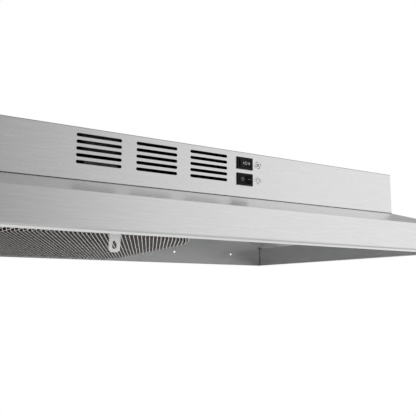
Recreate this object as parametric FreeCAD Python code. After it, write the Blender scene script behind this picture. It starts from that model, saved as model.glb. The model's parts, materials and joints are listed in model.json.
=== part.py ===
import FreeCAD, Part
import math
import os

V = FreeCAD.Vector

# ---------------------------------------------------------------- driving sizes (mm)
# Frame: origin at the centre of the top face that lies against the cabinet,
# +X to the right, +Y to the wall, +Z up. The hood hangs below the origin.
WIDTH = 759.0            # nominal 30 inch hood
DEPTH = 444.5
HEIGHT = 111.0
SHEET = 0.8
INSET = 59.5             # how far the visor stands out from the upper box
LIP_HEIGHT = 35.0
LEDGE_RISE = 21.0
FRONT_RETURN = 22.0      # bottom return of the front lip
SIDE_RETURN = 9.0
BEND_RADIUS = 2.4

HALF_W = WIDTH / 2
FRONT_Y = -DEPTH / 2
BACK_Y = DEPTH / 2
BOX_HALF = HALF_W - INSET
BOX_FRONT = FRONT_Y + INSET
Z_BOTTOM = -HEIGHT
Z_LIP = Z_BOTTOM + LIP_HEIGHT
Z_LEDGE = Z_LIP + LEDGE_RISE

# top panel
TOP_FLANGE = 12.0
CABINET_HOLE_X = 560.0   # spacing of the cabinet screws
CABINET_HOLE_Y = 250.0
CABINET_HOLE_R = 3.0
KNOCKOUT_X = 250.0
KNOCKOUT_Y = 170.0
KNOCKOUT_R = 11.0

# front panel: vent slots and switch cut-outs
PANEL_GAP = 0.8          # open joint between front panel and ledge
SLOT_W = 50.0
SLOT_H = 3.6
SLOT_PITCH = 7.0
SLOT_ROWS = 5
SLOT_GROUPS = 3
SLOT_GROUP_PITCH = 66.8
SLOT_LEFT = -141.3
SLOT_TOP = 8.1           # top of the panel to the centre of the first slot

SWITCH_X = 67.2
SWITCH_Z = (-13.6, -32.9)
BEZEL_W = 22.8
BEZEL_H = 14.6
BEZEL_T = 1.6
CUTOUT_W = 19.4
CUTOUT_H = 11.4
BODY_W = 19.0
BODY_H = 11.0
BODY_DEPTH = 17.0
ROCKER_R = 8.5            # the rocker's ends follow a circle round its pivot
ROCKER_H = 9.0
ROCKER_TILT = 10.0       # degrees each way
ROCKER_PIN_R = 0.8
ROCKER_AXIS_Y = BOX_FRONT + 1.2

# back panel
WALL_HOLE_R = 2.0
WALL_HOLE_X = (186.0, 309.0)
WALL_HOLE_UP = 20.2
BACK_HEM = 6.0

# fan plate and fan
PLATE_TOP = -53.4
PLATE_CLEAR = 0.3
PLATE_FLANGE = 12.0
FAN_X = -68.0
FAN_Y = 59.0
SHROUD_R = 93.0
SHROUD_H = 20.0
BLADE_R = 89.0
BLADE_COUNT = 5
BLADE_T = 1.2
BLADE_PITCH = 24.0
BLADE_Z = -45.0
HUB_R = 17.0
HUB_H = 15.0
SHAFT_R = 3.0
FIT = 0.05               # radial running clearance

# motor
STRAP_W = 44.0
STRAP_Z = -6.5
STRAP_T = 1.2
STACK_X = 58.0
STACK_Y = 62.0
STACK_T = 16.0
STACK_Z = -17.0          # top of the lamination stack
ROTOR_R = 13.0
AIR_GAP = 0.4
BRIDGE_T = 2.5

# lamp
LAMP_X = 205.0
LAMP_Y = 12.0
LAMP_L = 150.0
LAMP_W = 84.0
LAMP_TOP = -5.5
LAMP_WALL = 0.6
LENS_T = 1.6
LENS_DROP = 13.0
LENS_PIN_R = 1.5
BULB_R = 22.5
LAMP_Z = -30.5
LENS_TOP = PLATE_TOP - SHEET - 0.5
LENS_AXIS_Y = LAMP_Y + LAMP_W / 2 + 4 + 3.0
LENS_AXIS_Z = PLATE_TOP - SHEET - 3.4

# wiring compartment behind the lamp
WIRING_X0 = 205.0
WIRING_X1 = 295.0
WIRING_Y0 = 130.0
WIRING_Y1 = 212.0
WIRE_Y = 140.0
WIRE_Z = -40.0

# filter: a mesh-skinned pad that hangs level with the visor's lower edge, its rear edge lower
FILTER_X = FAN_X
FILTER_Y = FAN_Y
FILTER_Z = -93.0         # top of the pad at its centre
FILTER_W = 282.0         # along X
FILTER_D = 310.0         # front to back
FILTER_H = 13.0
FILTER_TILT = -1.9       # degrees about +X
FILTER_EDGE = 8.0        # rounding of the pad's lower edges
FRONT_CORNER = 95.0      # rounding of its front corners in plan
REAR_CORNER = 20.0
FILTER_CROWN = 2.0       # rise of the lower skin's sides above its middle
MESH_T = 1.5
BINDING_T = 0.8
TAB_W = 14.0
TAB_T = 0.9
TAB_DROP = 29.6
TAB_LEAN = 8.0
TAB_HOLE_W = 5.4
TAB_HOLE_H = 9.4
RAIL_GAP = 1.2


# ---------------------------------------------------------------- shape helpers
def box(x0, x1, y0, y1, z0, z1):
    return Part.makeBox(x1 - x0, y1 - y0, z1 - z0, V(x0, y0, z0))


def rod(radius, start, end):
    way = end.sub(start)
    return Part.makeCylinder(radius, way.Length, start, way)


def ring(outer, inner, x, y, z0, z1):
    body = Part.makeCylinder(outer, z1 - z0, V(x, y, z0))
    return body.cut(Part.makeCylinder(inner, z1 - z0 + 2, V(x, y, z0 - 1)))


def prism(points, way):
    wire = Part.makePolygon(points + [points[0]])
    return Part.Face(wire).extrude(way)


def fuse(shapes):
    return shapes[0].multiFuse(shapes[1:]).removeSplitter()


def mirror_x(shape):
    return shape.mirror(V(0, 0, 0), V(1, 0, 0))


def save(node, shape):
    shape.exportStep("parts/" + node + ".step")


def offset_left(points, distance):
    """The same 2-D polyline moved to its left, with sharp corners."""
    lines = []
    for a, b in zip(points, points[1:]):
        du = b[0] - a[0]
        dv = b[1] - a[1]
        size = math.hypot(du, dv)
        shift = (-dv / size * distance, du / size * distance)
        lines.append(((a[0] + shift[0], a[1] + shift[1]), (du / size, dv / size)))
    moved = [lines[0][0]]
    for (p, d), (q, e) in zip(lines, lines[1:]):
        cross = d[0] * e[1] - d[1] * e[0]
        along = ((q[0] - p[0]) * e[1] - (q[1] - p[1]) * e[0]) / cross
        moved.append((p[0] + d[0] * along, p[1] + d[1] * along))
    last = points[-1]
    way = lines[-1][1]
    moved.append((last[0] - way[1] * distance, last[1] + way[0] * distance))
    return moved


def bent_sheet(points, to_3d, way, radii):
    """A folded sheet: the outer 2-D polyline, its thickness to the left, extruded along way.

    radii gives the outer bend radius for each inner corner of the polyline.
    """
    inner = offset_left(points, SHEET)
    outline = points + inner[::-1]
    solid = prism([to_3d(u, v) for u, v in outline], way)
    for index, radius in radii.items():
        for corner, bend in ((points[index], radius), (inner[index], max(radius - SHEET, 0.3))):
            convex = to_3d(*corner)
            edges = [e for e in solid.Edges if on_line(e, convex, way)]
            solid = solid.makeFillet(bend, edges)
    return solid


def on_line(edge, point, way):
    ends = [v.Point for v in edge.Vertexes]
    if len(ends) != 2:
        return False
    return all(p.sub(point).cross(way).Length / way.Length < 1e-4 for p in ends)


def slot_cutter(x0, x1, z, height, y0, y1):
    """A stadium-shaped cutter that runs along Y."""
    r = height / 2
    pieces = [box(x0 + r, x1 - r, y0, y1, z - r, z + r)]
    for x in (x0 + r, x1 - r):
        pieces.append(rod(r, V(x, y0, z), V(x, y1, z)))
    return fuse(pieces)


def tube_path(points, radius, bend):
    """A round wire along straight runs joined by tangent arcs."""
    edges = []
    at = points[0]
    for before, corner, after in zip(points, points[1:], points[2:]):
        inward = before.sub(corner).normalize()
        onward = after.sub(corner).normalize()
        half = inward.getAngle(onward) / 2
        reach = bend / math.tan(half)
        first = corner.add(V(inward).multiply(reach))
        last = corner.add(V(onward).multiply(reach))
        middle_way = inward.add(onward).normalize()
        centre = corner.add(V(middle_way).multiply(bend / math.sin(half)))
        middle = centre.sub(V(middle_way).multiply(bend))
        edges.append(Part.LineSegment(at, first).toShape())
        edges.append(Part.Arc(first, middle, last).toShape())
        at = last
    edges.append(Part.LineSegment(at, points[-1]).toShape())
    path = Part.Wire(edges)
    circle = Part.Wire([Part.Circle(points[0], points[1].sub(points[0]), radius).toShape()])
    return path.makePipeShell([circle], True, True)


# ---------------------------------------------------------------- shell
def front_wedge():
    """Everything in front of the two 45 degree mitre planes."""
    corner = BOX_HALF + BOX_FRONT
    near = FRONT_Y - 5
    far = -100.0
    points = [V(near - corner, near, Z_BOTTOM - 5), V(corner - near, near, Z_BOTTOM - 5),
              V(corner - far, far, Z_BOTTOM - 5), V(far - corner, far, Z_BOTTOM - 5)]
    return prism(points, V(0, 0, HEIGHT + 10))


def make_visor_front():
    flange_y = BOX_FRONT + SHEET
    flange_z = Z_LEDGE + SHEET * LEDGE_RISE / INSET
    outer = [(flange_y, Z_LEDGE + 10), (flange_y, flange_z), (FRONT_Y, Z_LIP),
             (FRONT_Y, Z_BOTTOM), (FRONT_Y + FRONT_RETURN, Z_BOTTOM)]
    sheet = bent_sheet(outer, lambda u, v: V(-HALF_W, u, v), V(WIDTH, 0, 0),
                       {2: 1.6, 3: BEND_RADIUS})
    return sheet.common(front_wedge())


def make_side_shell():
    outer = [(-BOX_HALF, -SHEET), (-BOX_HALF, Z_LEDGE), (-HALF_W, Z_LIP),
             (-HALF_W, Z_BOTTOM), (-HALF_W + SIDE_RETURN, Z_BOTTOM)]
    run = DEPTH - SHEET
    sheet = bent_sheet(outer, lambda u, v: V(u, FRONT_Y, v), V(0, run, 0),
                       {1: 1.2, 2: 1.6, 3: BEND_RADIUS})
    return sheet.cut(front_wedge())


def make_top_panel():
    inner_x = BOX_HALF - SHEET
    front = BOX_FRONT + SHEET
    back = BACK_Y - SHEET
    short = 5.0          # the front flange ends above the first row of slots
    panel = fuse([
        box(-BOX_HALF, BOX_HALF, BOX_FRONT, BACK_Y, -SHEET, 0),
        box(-inner_x, inner_x, front, front + SHEET, -SHEET - short, -SHEET),
        box(-inner_x, inner_x, back - SHEET, back, -SHEET - TOP_FLANGE, -SHEET),
        box(-inner_x, -inner_x + SHEET, front, back, -SHEET - TOP_FLANGE, -SHEET),
        box(inner_x - SHEET, inner_x, front, back, -SHEET - TOP_FLANGE, -SHEET)])
    # the side flanges start behind the ends of the front flange
    for side in (-1, 1):
        x = side * (inner_x - SHEET / 2)
        panel = panel.cut(box(x - 1, x + 1, front - 0.1, front + 12, -SHEET - TOP_FLANGE - 1, -SHEET))
    holes = [(sx * CABINET_HOLE_X / 2, sy * CABINET_HOLE_Y / 2) for sx in (-1, 1) for sy in (-1, 1)]
    for x, y in holes:
        panel = panel.cut(Part.makeCylinder(CABINET_HOLE_R, 3, V(x, y, -2)))
    return panel.cut(Part.makeCylinder(KNOCKOUT_R, 3, V(KNOCKOUT_X, KNOCKOUT_Y, -2)))


def make_front_panel():
    y0 = BOX_FRONT
    y1 = BOX_FRONT + SHEET
    panel = box(-BOX_HALF, BOX_HALF, y0, y1, Z_LEDGE + PANEL_GAP, -SHEET)
    cutters = []
    for group in range(SLOT_GROUPS):
        left = SLOT_LEFT + group * SLOT_GROUP_PITCH
        for row in range(SLOT_ROWS):
            z = -SLOT_TOP - row * SLOT_PITCH
            cutters.append(slot_cutter(left, left + SLOT_W, z, SLOT_H, y0 - 1, y1 + 1))
    for z in SWITCH_Z:
        cutters.append(box(SWITCH_X - CUTOUT_W / 2, SWITCH_X + CUTOUT_W / 2, y0 - 1, y1 + 1,
                           z - CUTOUT_H / 2, z + CUTOUT_H / 2))
    for cutter in cutters:
        panel = panel.cut(cutter)
    return panel.common(front_wedge())


def make_back_panel():
    y = BACK_Y - SHEET
    outline = [(-HALF_W, Z_BOTTOM), (HALF_W, Z_BOTTOM), (HALF_W, Z_LIP), (BOX_HALF, Z_LEDGE),
               (BOX_HALF, -SHEET), (-BOX_HALF, -SHEET), (-BOX_HALF, Z_LEDGE), (-HALF_W, Z_LIP)]
    panel = prism([V(x, y, z) for x, z in outline], V(0, SHEET, 0))
    reach = HALF_W - SIDE_RETURN - 1
    hem = box(-reach, reach, y - BACK_HEM, y, Z_BOTTOM, Z_BOTTOM + SHEET)
    panel = fuse([panel, hem])
    z = Z_BOTTOM + WALL_HOLE_UP
    for x in WALL_HOLE_X:
        for side in (-1, 1):
            panel = panel.cut(rod(WALL_HOLE_R, V(side * x, y - 1, z), V(side * x, BACK_Y + 1, z)))
    return panel


def make_shell_rivets():
    """Blind rivets that hold the fan plate's flanges to the side shells and the back panel."""
    rivets = []
    z = PLATE_TOP + PLATE_FLANGE / 2
    reach = BOX_HALF - SHEET - PLATE_CLEAR - SHEET
    for side in (-1, 1):
        for y in (-110.0, 30.0, 170.0):
            rivets.append(rod(3.0, V(side * reach, y, z), V(side * (reach - 1.2), y, z)))
    back = BACK_Y - SHEET - PLATE_CLEAR - SHEET
    for x in (-260.0, -90.0, 90.0):
        rivets.append(rod(3.0, V(x, back, z), V(x, back - 1.2, z)))
    return Part.makeCompound(rivets)


# ---------------------------------------------------------------- fan plate and fan
def make_fan_plate():
    x = BOX_HALF - SHEET - PLATE_CLEAR
    y0 = BOX_FRONT + 2 * SHEET + PLATE_CLEAR
    y1 = BACK_Y - SHEET - PLATE_CLEAR
    z0 = PLATE_TOP - SHEET
    z1 = PLATE_TOP + PLATE_FLANGE
    plate = fuse([box(-x, x, y0, y1, z0, PLATE_TOP),
                  box(-x, -x + SHEET, y0, y1, z0, z1),
                  box(x - SHEET, x, y0, y1, z0, z1),
                  box(-x, x, y1 - SHEET, y1, z0, z1)])
    plate = plate.cut(Part.makeCylinder(SHROUD_R, 4, V(FAN_X, FAN_Y, z0 - 1)))
    plate = plate.cut(box(LAMP_X - LAMP_L / 2, LAMP_X + LAMP_L / 2,
                          LAMP_Y - LAMP_W / 2, LAMP_Y + LAMP_W / 2, z0 - 1, PLATE_TOP + 1))
    return plate.cut(box(WIRING_X0 + 12, WIRING_X1 - 12, WIRING_Y0 + 12, WIRING_Y1 - 12,
                         z0 - 1, PLATE_TOP + 1))


def make_fan_shroud():
    wall = 0.8
    tube = ring(SHROUD_R + wall, SHROUD_R, FAN_X, FAN_Y, PLATE_TOP, PLATE_TOP + SHROUD_H)
    flange = ring(SHROUD_R + 8, SHROUD_R, FAN_X, FAN_Y, PLATE_TOP, PLATE_TOP + wall)
    shroud = fuse([tube, flange])
    for x, y in bracket_screw_points():
        shroud = shroud.cut(Part.makeCylinder(1.0, 1, V(x, y, 10)))
    return shroud


def make_motor_bracket():
    half = SHROUD_R + 13.0
    foot = 14.0
    x0 = FAN_X - STRAP_W / 2
    x1 = FAN_X + STRAP_W / 2
    pieces = [box(x0, x1, FAN_Y - half, FAN_Y + half, STRAP_Z - STRAP_T, STRAP_Z)]
    for side in (-1, 1):
        inner = FAN_Y + side * (half - STRAP_T)
        outer = FAN_Y + side * half
        tip = FAN_Y + side * (half + foot)
        pieces.append(box(x0, x1, min(inner, outer), max(inner, outer), PLATE_TOP, STRAP_Z))
        pieces.append(box(x0, x1, min(outer, tip), max(outer, tip), PLATE_TOP, PLATE_TOP + STRAP_T))
    bracket = fuse(pieces)
    for x, y in bracket_screw_points():
        bracket = bracket.cut(Part.makeCylinder(2.2, 6, V(x, y, PLATE_TOP - 1)))
    for x in motor_screw_x():
        bracket = bracket.cut(Part.makeCylinder(1.8, 6, V(x, FAN_Y, STRAP_Z - 4)))
    return bracket


def bracket_screw_points():
    y = SHROUD_R + 21.0
    return [(FAN_X + sx * 14, FAN_Y + sy * y) for sx in (-1, 1) for sy in (-1, 1)]


def motor_screw_x():
    return [FAN_X + side * (STACK_X / 2 - 3.5) for side in (-1, 1)]


def make_bracket_screws():
    """Pan-head screws through the bracket's feet into the fan plate's pressed nuts."""
    screws = []
    for x, y in bracket_screw_points():
        base = PLATE_TOP + STRAP_T
        head = Part.makeCylinder(4.0, 2.2, V(x, y, base))
        shank = Part.makeCylinder(2.0, STRAP_T, V(x, y, PLATE_TOP))
        screws.append(fuse([head.makeFillet(1.0, [head.Edges[0]]), shank]))
    return Part.makeCompound(screws)


def make_motor_stator():
    """C-frame lamination stack with the rotor bore and one limb for the coil."""
    x0 = FAN_X - STACK_X / 2
    x1 = FAN_X + STACK_X / 2
    y0 = FAN_Y - 20.0
    y1 = y0 + STACK_Y + 6.0
    z0 = STACK_Z - STACK_T
    stack = box(x0, x1, y0, y1, z0, STACK_Z)
    stack = stack.cut(Part.makeCylinder(ROTOR_R + AIR_GAP, STACK_T + 2, V(FAN_X, FAN_Y, z0 - 1)))
    stack = stack.cut(box(FAN_X - 17, FAN_X + 17, y0 + 38, y1 - 12, z0 - 1, STACK_Z + 1))
    for x in motor_screw_x():
        stack = stack.cut(Part.makeCylinder(1.8, STACK_T + 2, V(x, FAN_Y, z0 - 1)))
    return stack


def make_motor_coil():
    """Taped winding on its bobbin, round the stator's outer limb."""
    limb_y1 = FAN_Y - 20.0 + STACK_Y + 6.0
    limb_y0 = limb_y1 - 12.0
    middle = STACK_Z - STACK_T / 2
    half = 11.6
    coil = box(FAN_X - 16.6, FAN_X + 16.6, limb_y0 - 5, limb_y1 + 5, middle - half, middle + half)
    coil = coil.makeFillet(4.0, [e for e in coil.Edges if abs(e.tangentAt(0).x) > 0.9])
    return coil.cut(box(FAN_X - 20, FAN_X + 20, limb_y0 - 0.2, limb_y1 + 0.2,
                        middle - STACK_T / 2 - 0.2, middle + STACK_T / 2 + 0.2))


def make_bearing_bridge(stack_side, away):
    """A bridge with a sleeve bearing; away is +1 above the stack and -1 below it."""
    low = stack_side
    bar = stack_side + away * 6.8 if away > 0 else stack_side - 1.5
    pieces = []
    for side in (-1, 1):
        x_end = FAN_X + side * STACK_X / 2
        x_in = x_end - side * 7
        pieces.append(box(min(x_end, x_in), max(x_end, x_in), FAN_Y - 7, FAN_Y + 7,
                          min(low, bar), max(low, bar)))
    outer = bar + away * BRIDGE_T
    pieces.append(box(FAN_X - STACK_X / 2, FAN_X + STACK_X / 2, FAN_Y - 7, FAN_Y + 7,
                      min(bar, outer), max(bar, outer)))
    if away > 0:
        pieces.append(Part.makeCylinder(6.5, 4.5, V(FAN_X, FAN_Y, bar - 4.5)))
    bridge = fuse(pieces)
    bridge = bridge.cut(Part.makeCylinder(SHAFT_R + FIT, 40, V(FAN_X, FAN_Y, stack_side - 20)))
    for x in motor_screw_x():
        bridge = bridge.cut(Part.makeCylinder(1.8, 40, V(x, FAN_Y, stack_side - 20)))
    return bridge


def make_motor_screws():
    screws = []
    low = STACK_Z - STACK_T - 1.5 - BRIDGE_T
    for x in motor_screw_x():
        shank = Part.makeCylinder(1.6, STRAP_Z - low, V(x, FAN_Y, low))
        head = Part.makeCylinder(3.1, 2.2, V(x, FAN_Y, STRAP_Z))
        screws.append(fuse([shank, head]))
    return Part.makeCompound(screws)


def make_motor_rotor():
    z0 = STACK_Z - STACK_T
    return ring(ROTOR_R, SHAFT_R, FAN_X, FAN_Y, z0 + 0.6, STACK_Z - 0.6)


def make_motor_shaft():
    top = STRAP_Z - STRAP_T - 0.6
    return Part.makeCylinder(SHAFT_R, top - (BLADE_Z - 10.5), V(FAN_X, FAN_Y, BLADE_Z - 10.5))


def make_fan_blade():
    """Five pitched sheet blades on a moulded hub."""
    root = HUB_R - 4
    planform = [V(root, -9, 0), V(BLADE_R * 0.62, -19, 0), V(BLADE_R + 3, -22, 0),
                V(BLADE_R + 3, 20, 0), V(BLADE_R * 0.55, 14, 0), V(root, 8, 0)]
    blade = prism([p.add(V(0, 0, -BLADE_T / 2)) for p in planform], V(0, 0, BLADE_T))
    corners = [e for e in blade.Edges if abs(e.tangentAt(0).z) > 0.9 and e.CenterOfMass.x < BLADE_R]
    corners = [e for e in corners if e.CenterOfMass.x > root + 5]
    blade = blade.makeFillet(18.0, corners)
    blade.rotate(V(0, 0, 0), V(1, 0, 0), BLADE_PITCH)
    blade = blade.common(Part.makeCylinder(BLADE_R, 60, V(0, 0, -30)))
    hub = Part.makeCylinder(HUB_R, HUB_H, V(0, 0, -HUB_H / 2))
    hub = hub.makeFillet(2.5, [e for e in hub.Edges if abs(e.CenterOfMass.z + HUB_H / 2) < 0.01])
    pieces = [hub]
    for index in range(BLADE_COUNT):
        turned = blade.copy()
        turned.rotate(V(0, 0, 0), V(0, 0, 1), index * 360.0 / BLADE_COUNT)
        pieces.append(turned)
    fan = fuse(pieces)
    fan = fan.cut(Part.makeCylinder(SHAFT_R, HUB_H + 4, V(0, 0, -HUB_H / 2 - 2)))
    fan.translate(V(FAN_X, FAN_Y, BLADE_Z))
    return fan


def make_fan_nut():
    """Hexagon nut under the hub."""
    z = BLADE_Z - HUB_H / 2
    across = 5.6
    points = [V(FAN_X + across * math.cos(math.radians(60 * k)),
                FAN_Y + across * math.sin(math.radians(60 * k)), z) for k in range(6)]
    nut = prism(points, V(0, 0, -3.4))
    return nut.cut(Part.makeCylinder(SHAFT_R, 8, V(FAN_X, FAN_Y, z - 6)))


# ---------------------------------------------------------------- lamp
def make_lamp_reflector():
    """Pressed reflector box above the lamp opening, with a flange that rests on the fan plate."""
    x0 = LAMP_X - LAMP_L / 2
    x1 = LAMP_X + LAMP_L / 2
    y0 = LAMP_Y - LAMP_W / 2
    y1 = LAMP_Y + LAMP_W / 2
    w = LAMP_WALL
    outer = box(x0 - w, x1 + w, y0 - w, y1 + w, PLATE_TOP, LAMP_TOP)
    edges = [e for e in outer.Edges if e.CenterOfMass.z > PLATE_TOP + 1]
    outer = outer.makeFillet(7.0, edges)
    inner = box(x0, x1, y0, y1, PLATE_TOP - 1, LAMP_TOP - w)
    edges = [e for e in inner.Edges if e.CenterOfMass.z > PLATE_TOP]
    inner = inner.makeFillet(7.0 - w, edges)
    flange = box(x0 - 8, x1 + 8, y0 - 8, y1 + 8, PLATE_TOP, PLATE_TOP + w)
    flange = flange.cut(box(x0, x1, y0, y1, PLATE_TOP - 1, PLATE_TOP + 2))
    return fuse([outer.cut(inner), flange])


def make_lamp_socket():
    """Screw socket fixed to the reflector's left wall, open towards the bulb."""
    x0 = LAMP_X - LAMP_L / 2
    z = LAMP_Z
    shell = rod(16.5, V(x0, LAMP_Y, z), V(x0 + 34, LAMP_Y, z))
    cup = rod(13.6, V(x0 + 6, LAMP_Y, z), V(x0 + 35, LAMP_Y, z))
    return shell.cut(cup)


def make_lamp_bulb():
    """Small appliance bulb lying along X, its cap inside the socket."""
    x0 = LAMP_X - LAMP_L / 2 + 7
    cap_r = 13.0
    cap = 25.0
    centre = 62.0
    neck_x = cap + 6
    reach = math.sqrt(BULB_R ** 2 - 15.0 ** 2)
    profile = [
        Part.LineSegment(V(0, 0, 0), V(0, 5, 0)),
        Part.LineSegment(V(0, 5, 0), V(3, cap_r, 0)),
        Part.LineSegment(V(3, cap_r, 0), V(cap, cap_r, 0)),
        Part.LineSegment(V(cap, cap_r, 0), V(neck_x, cap_r - 0.6, 0)),
        Part.LineSegment(V(neck_x, cap_r - 0.6, 0), V(centre - reach, 15.0, 0)),
        Part.Arc(V(centre - reach, 15.0, 0), V(centre, BULB_R, 0), V(centre + BULB_R, 0, 0)),
        Part.LineSegment(V(centre + BULB_R, 0, 0), V(0, 0, 0))]
    face = Part.Face(Part.Wire([line.toShape() for line in profile]))
    bulb = face.revolve(V(0, 0, 0), V(1, 0, 0), 360)
    bulb.translate(V(x0, LAMP_Y, LAMP_Z))
    return bulb


def make_lamp_lens():
    """Tray-shaped lens with two knuckles and pins at its rear edge and a finger tab in front."""
    x0 = LAMP_X - LAMP_L / 2 - 5
    x1 = LAMP_X + LAMP_L / 2 + 5
    y0 = LAMP_Y - LAMP_W / 2 - 4
    y1 = LAMP_Y + LAMP_W / 2 + 4
    top = LENS_TOP
    low = top - LENS_DROP
    outer = box(x0, x1, y0, y1, low, top)
    outer = outer.makeFillet(5.0, [e for e in outer.Edges if e.CenterOfMass.z < top - 0.1])
    inner = box(x0 + LENS_T, x1 - LENS_T, y0 + LENS_T, y1 - LENS_T, low + LENS_T, top + 1)
    inner = inner.makeFillet(5.0 - LENS_T, [e for e in inner.Edges if e.CenterOfMass.z < top - 0.1])
    pieces = [outer.cut(inner), box(LAMP_X - 11, LAMP_X + 11, y0 - 6, y0 + 1, top - 3.4, top - 1.6)]
    for x in lens_knuckle_x():
        pieces.append(rod(2.6, V(x - 5, LENS_AXIS_Y, LENS_AXIS_Z), V(x + 5, LENS_AXIS_Y, LENS_AXIS_Z)))
        pieces.append(box(x - 5, x + 5, y1 - 1, LENS_AXIS_Y, LENS_AXIS_Z - 2.6, LENS_AXIS_Z))
        pieces.append(rod(LENS_PIN_R, V(x - 8.5, LENS_AXIS_Y, LENS_AXIS_Z),
                          V(x + 8.5, LENS_AXIS_Y, LENS_AXIS_Z)))
    return fuse(pieces)


def lens_knuckle_x():
    return (LAMP_X - 55.0, LAMP_X + 55.0)


def make_lens_brackets():
    """Two folded brackets under the fan plate, each with an ear on both sides of a knuckle."""
    brackets = []
    under = PLATE_TOP - SHEET
    ear_r = 2.7
    for x in lens_knuckle_x():
        pieces = [box(x - 8.4, x + 8.4, LENS_AXIS_Y + 3.6, LENS_AXIS_Y + 12, under - 1.0, under)]
        for side in (-1, 1):
            inner = x + side * 5.6
            outer = x + side * 6.8
            a = min(inner, outer)
            b = max(inner, outer)
            pieces.append(rod(ear_r, V(a, LENS_AXIS_Y, LENS_AXIS_Z), V(b, LENS_AXIS_Y, LENS_AXIS_Z)))
            pieces.append(box(a, b, LENS_AXIS_Y - ear_r, LENS_AXIS_Y + 12, LENS_AXIS_Z, under))
            pieces.append(box(a, b, LENS_AXIS_Y, LENS_AXIS_Y + 12, LENS_AXIS_Z - ear_r, LENS_AXIS_Z))
        bracket = fuse(pieces)
        axis = rod(LENS_PIN_R + FIT, V(x - 12, LENS_AXIS_Y, LENS_AXIS_Z),
                   V(x + 12, LENS_AXIS_Y, LENS_AXIS_Z))
        brackets.append(bracket.cut(axis))
    return Part.makeCompound(brackets)


def make_lens_latch():
    """Spring leaf in front of the lens that its finger tab snaps past."""
    y = LAMP_Y - LAMP_W / 2 - 4 - 6.5
    under = PLATE_TOP - SHEET
    leaf = box(LAMP_X - 7, LAMP_X + 7, y - 0.6, y, LENS_TOP - 9, under)
    foot = box(LAMP_X - 7, LAMP_X + 7, y - 12, y, under - 0.6, under)
    return fuse([leaf, foot])


# ---------------------------------------------------------------- switches and wiring
def make_switch_body(z):
    """Bezel and hollow body of a rocker switch, open at the front."""
    y = BOX_FRONT
    bezel = box(SWITCH_X - BEZEL_W / 2, SWITCH_X + BEZEL_W / 2, y - BEZEL_T, y,
                z - BEZEL_H / 2, z + BEZEL_H / 2)
    rim = [e for e in bezel.Edges if abs(e.CenterOfMass.y - (y - BEZEL_T)) < 0.01]
    bezel = bezel.makeFillet(0.7, rim)
    body = box(SWITCH_X - BODY_W / 2, SWITCH_X + BODY_W / 2, y, y + BODY_DEPTH,
               z - BODY_H / 2, z + BODY_H / 2)
    cavity = box(SWITCH_X - ROCKER_R - 0.3, SWITCH_X + ROCKER_R + 0.3, y - BEZEL_T - 1, y + 10,
                 z - ROCKER_H / 2 - 0.2, z + ROCKER_H / 2 + 0.2)
    pivot = rod(ROCKER_PIN_R + FIT, V(SWITCH_X, ROCKER_AXIS_Y, z - 8), V(SWITCH_X, ROCKER_AXIS_Y, z + 8))
    return fuse([bezel, body]).cut(cavity).cut(pivot)


def make_rocker(z, tilt):
    """Rocker with a shallow V front; its pins stand in the body's top and bottom walls."""
    profile = [V(-ROCKER_R, -4.0, 0), V(0, -3.1, 0), V(ROCKER_R, -4.0, 0), V(ROCKER_R, 1.0, 0),
               V(3, 5.0, 0), V(-3, 5.0, 0), V(-ROCKER_R, 1.0, 0)]
    key = prism([p.add(V(0, 0, -ROCKER_H / 2)) for p in profile], V(0, 0, ROCKER_H))
    key = key.common(Part.makeCylinder(ROCKER_R, 20, V(0, 0, -10)))
    reach = BODY_H / 2
    pin = Part.makeCylinder(ROCKER_PIN_R, 2 * reach, V(0, 0, -reach))
    rocker = fuse([key, pin])
    rocker.rotate(V(0, 0, 0), V(0, 0, 1), tilt)
    rocker.translate(V(SWITCH_X, ROCKER_AXIS_Y, z))
    return rocker


def make_terminals(z, offsets):
    """Push-on tabs at the back of a switch."""
    y = BOX_FRONT + BODY_DEPTH
    return Part.makeCompound([box(SWITCH_X + dx - 0.4, SWITCH_X + dx + 0.4, y, y + 7, z - 2.4, z + 2.4)
                              for dx in offsets])


def make_wiring_box():
    """Open-ended sheet box that closes off the wiring under the knock-out."""
    w = SHEET
    outer = box(WIRING_X0, WIRING_X1, WIRING_Y0, WIRING_Y1, PLATE_TOP, -SHEET)
    inner = box(WIRING_X0 + w, WIRING_X1 - w, WIRING_Y0 + w, WIRING_Y1 - w, PLATE_TOP - 1, 1)
    walls = outer.cut(inner)
    hole = rod(4.2, V(WIRING_X0 - 3, WIRE_Y, WIRE_Z), V(WIRING_X0 + 3, WIRE_Y, WIRE_Z))
    return walls.cut(hole)


def make_wire_bushing():
    """Plastic bushing in the wiring box's hole, round the switch wires."""
    x = WIRING_X0
    y = WIRE_Y
    neck = rod(4.15, V(x - 1, y, WIRE_Z), V(x + 2.4, y, WIRE_Z))
    rim = rod(6.0, V(x - 1.6, y, WIRE_Z), V(x, y, WIRE_Z))
    return fuse([neck, rim]).cut(rod(2.8, V(x - 4, y, WIRE_Z), V(x + 4, y, WIRE_Z)))


def make_wiring_cover():
    under = PLATE_TOP - SHEET
    cover = box(WIRING_X0, WIRING_X1, WIRING_Y0, WIRING_Y1, under - SHEET, under)
    for x, y in cover_screw_points():
        cover = cover.cut(Part.makeCylinder(1.9, 4, V(x, y, under - 2)))
    return cover


def cover_screw_points():
    return [(WIRING_X0 + 6, (WIRING_Y0 + WIRING_Y1) / 2), (WIRING_X1 - 6, (WIRING_Y0 + WIRING_Y1) / 2)]


def make_cover_screws():
    screws = []
    low = PLATE_TOP - 2 * SHEET
    for x, y in cover_screw_points():
        head = Part.makeCylinder(3.4, 2.0, V(x, y, low - 2.0))
        head = head.makeFillet(0.9, [e for e in head.Edges if e.CenterOfMass.z < low - 1.9])
        screws.append(fuse([head, Part.makeCylinder(1.8, SHEET, V(x, y, low))]))
    return Part.makeCompound(screws)


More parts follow.
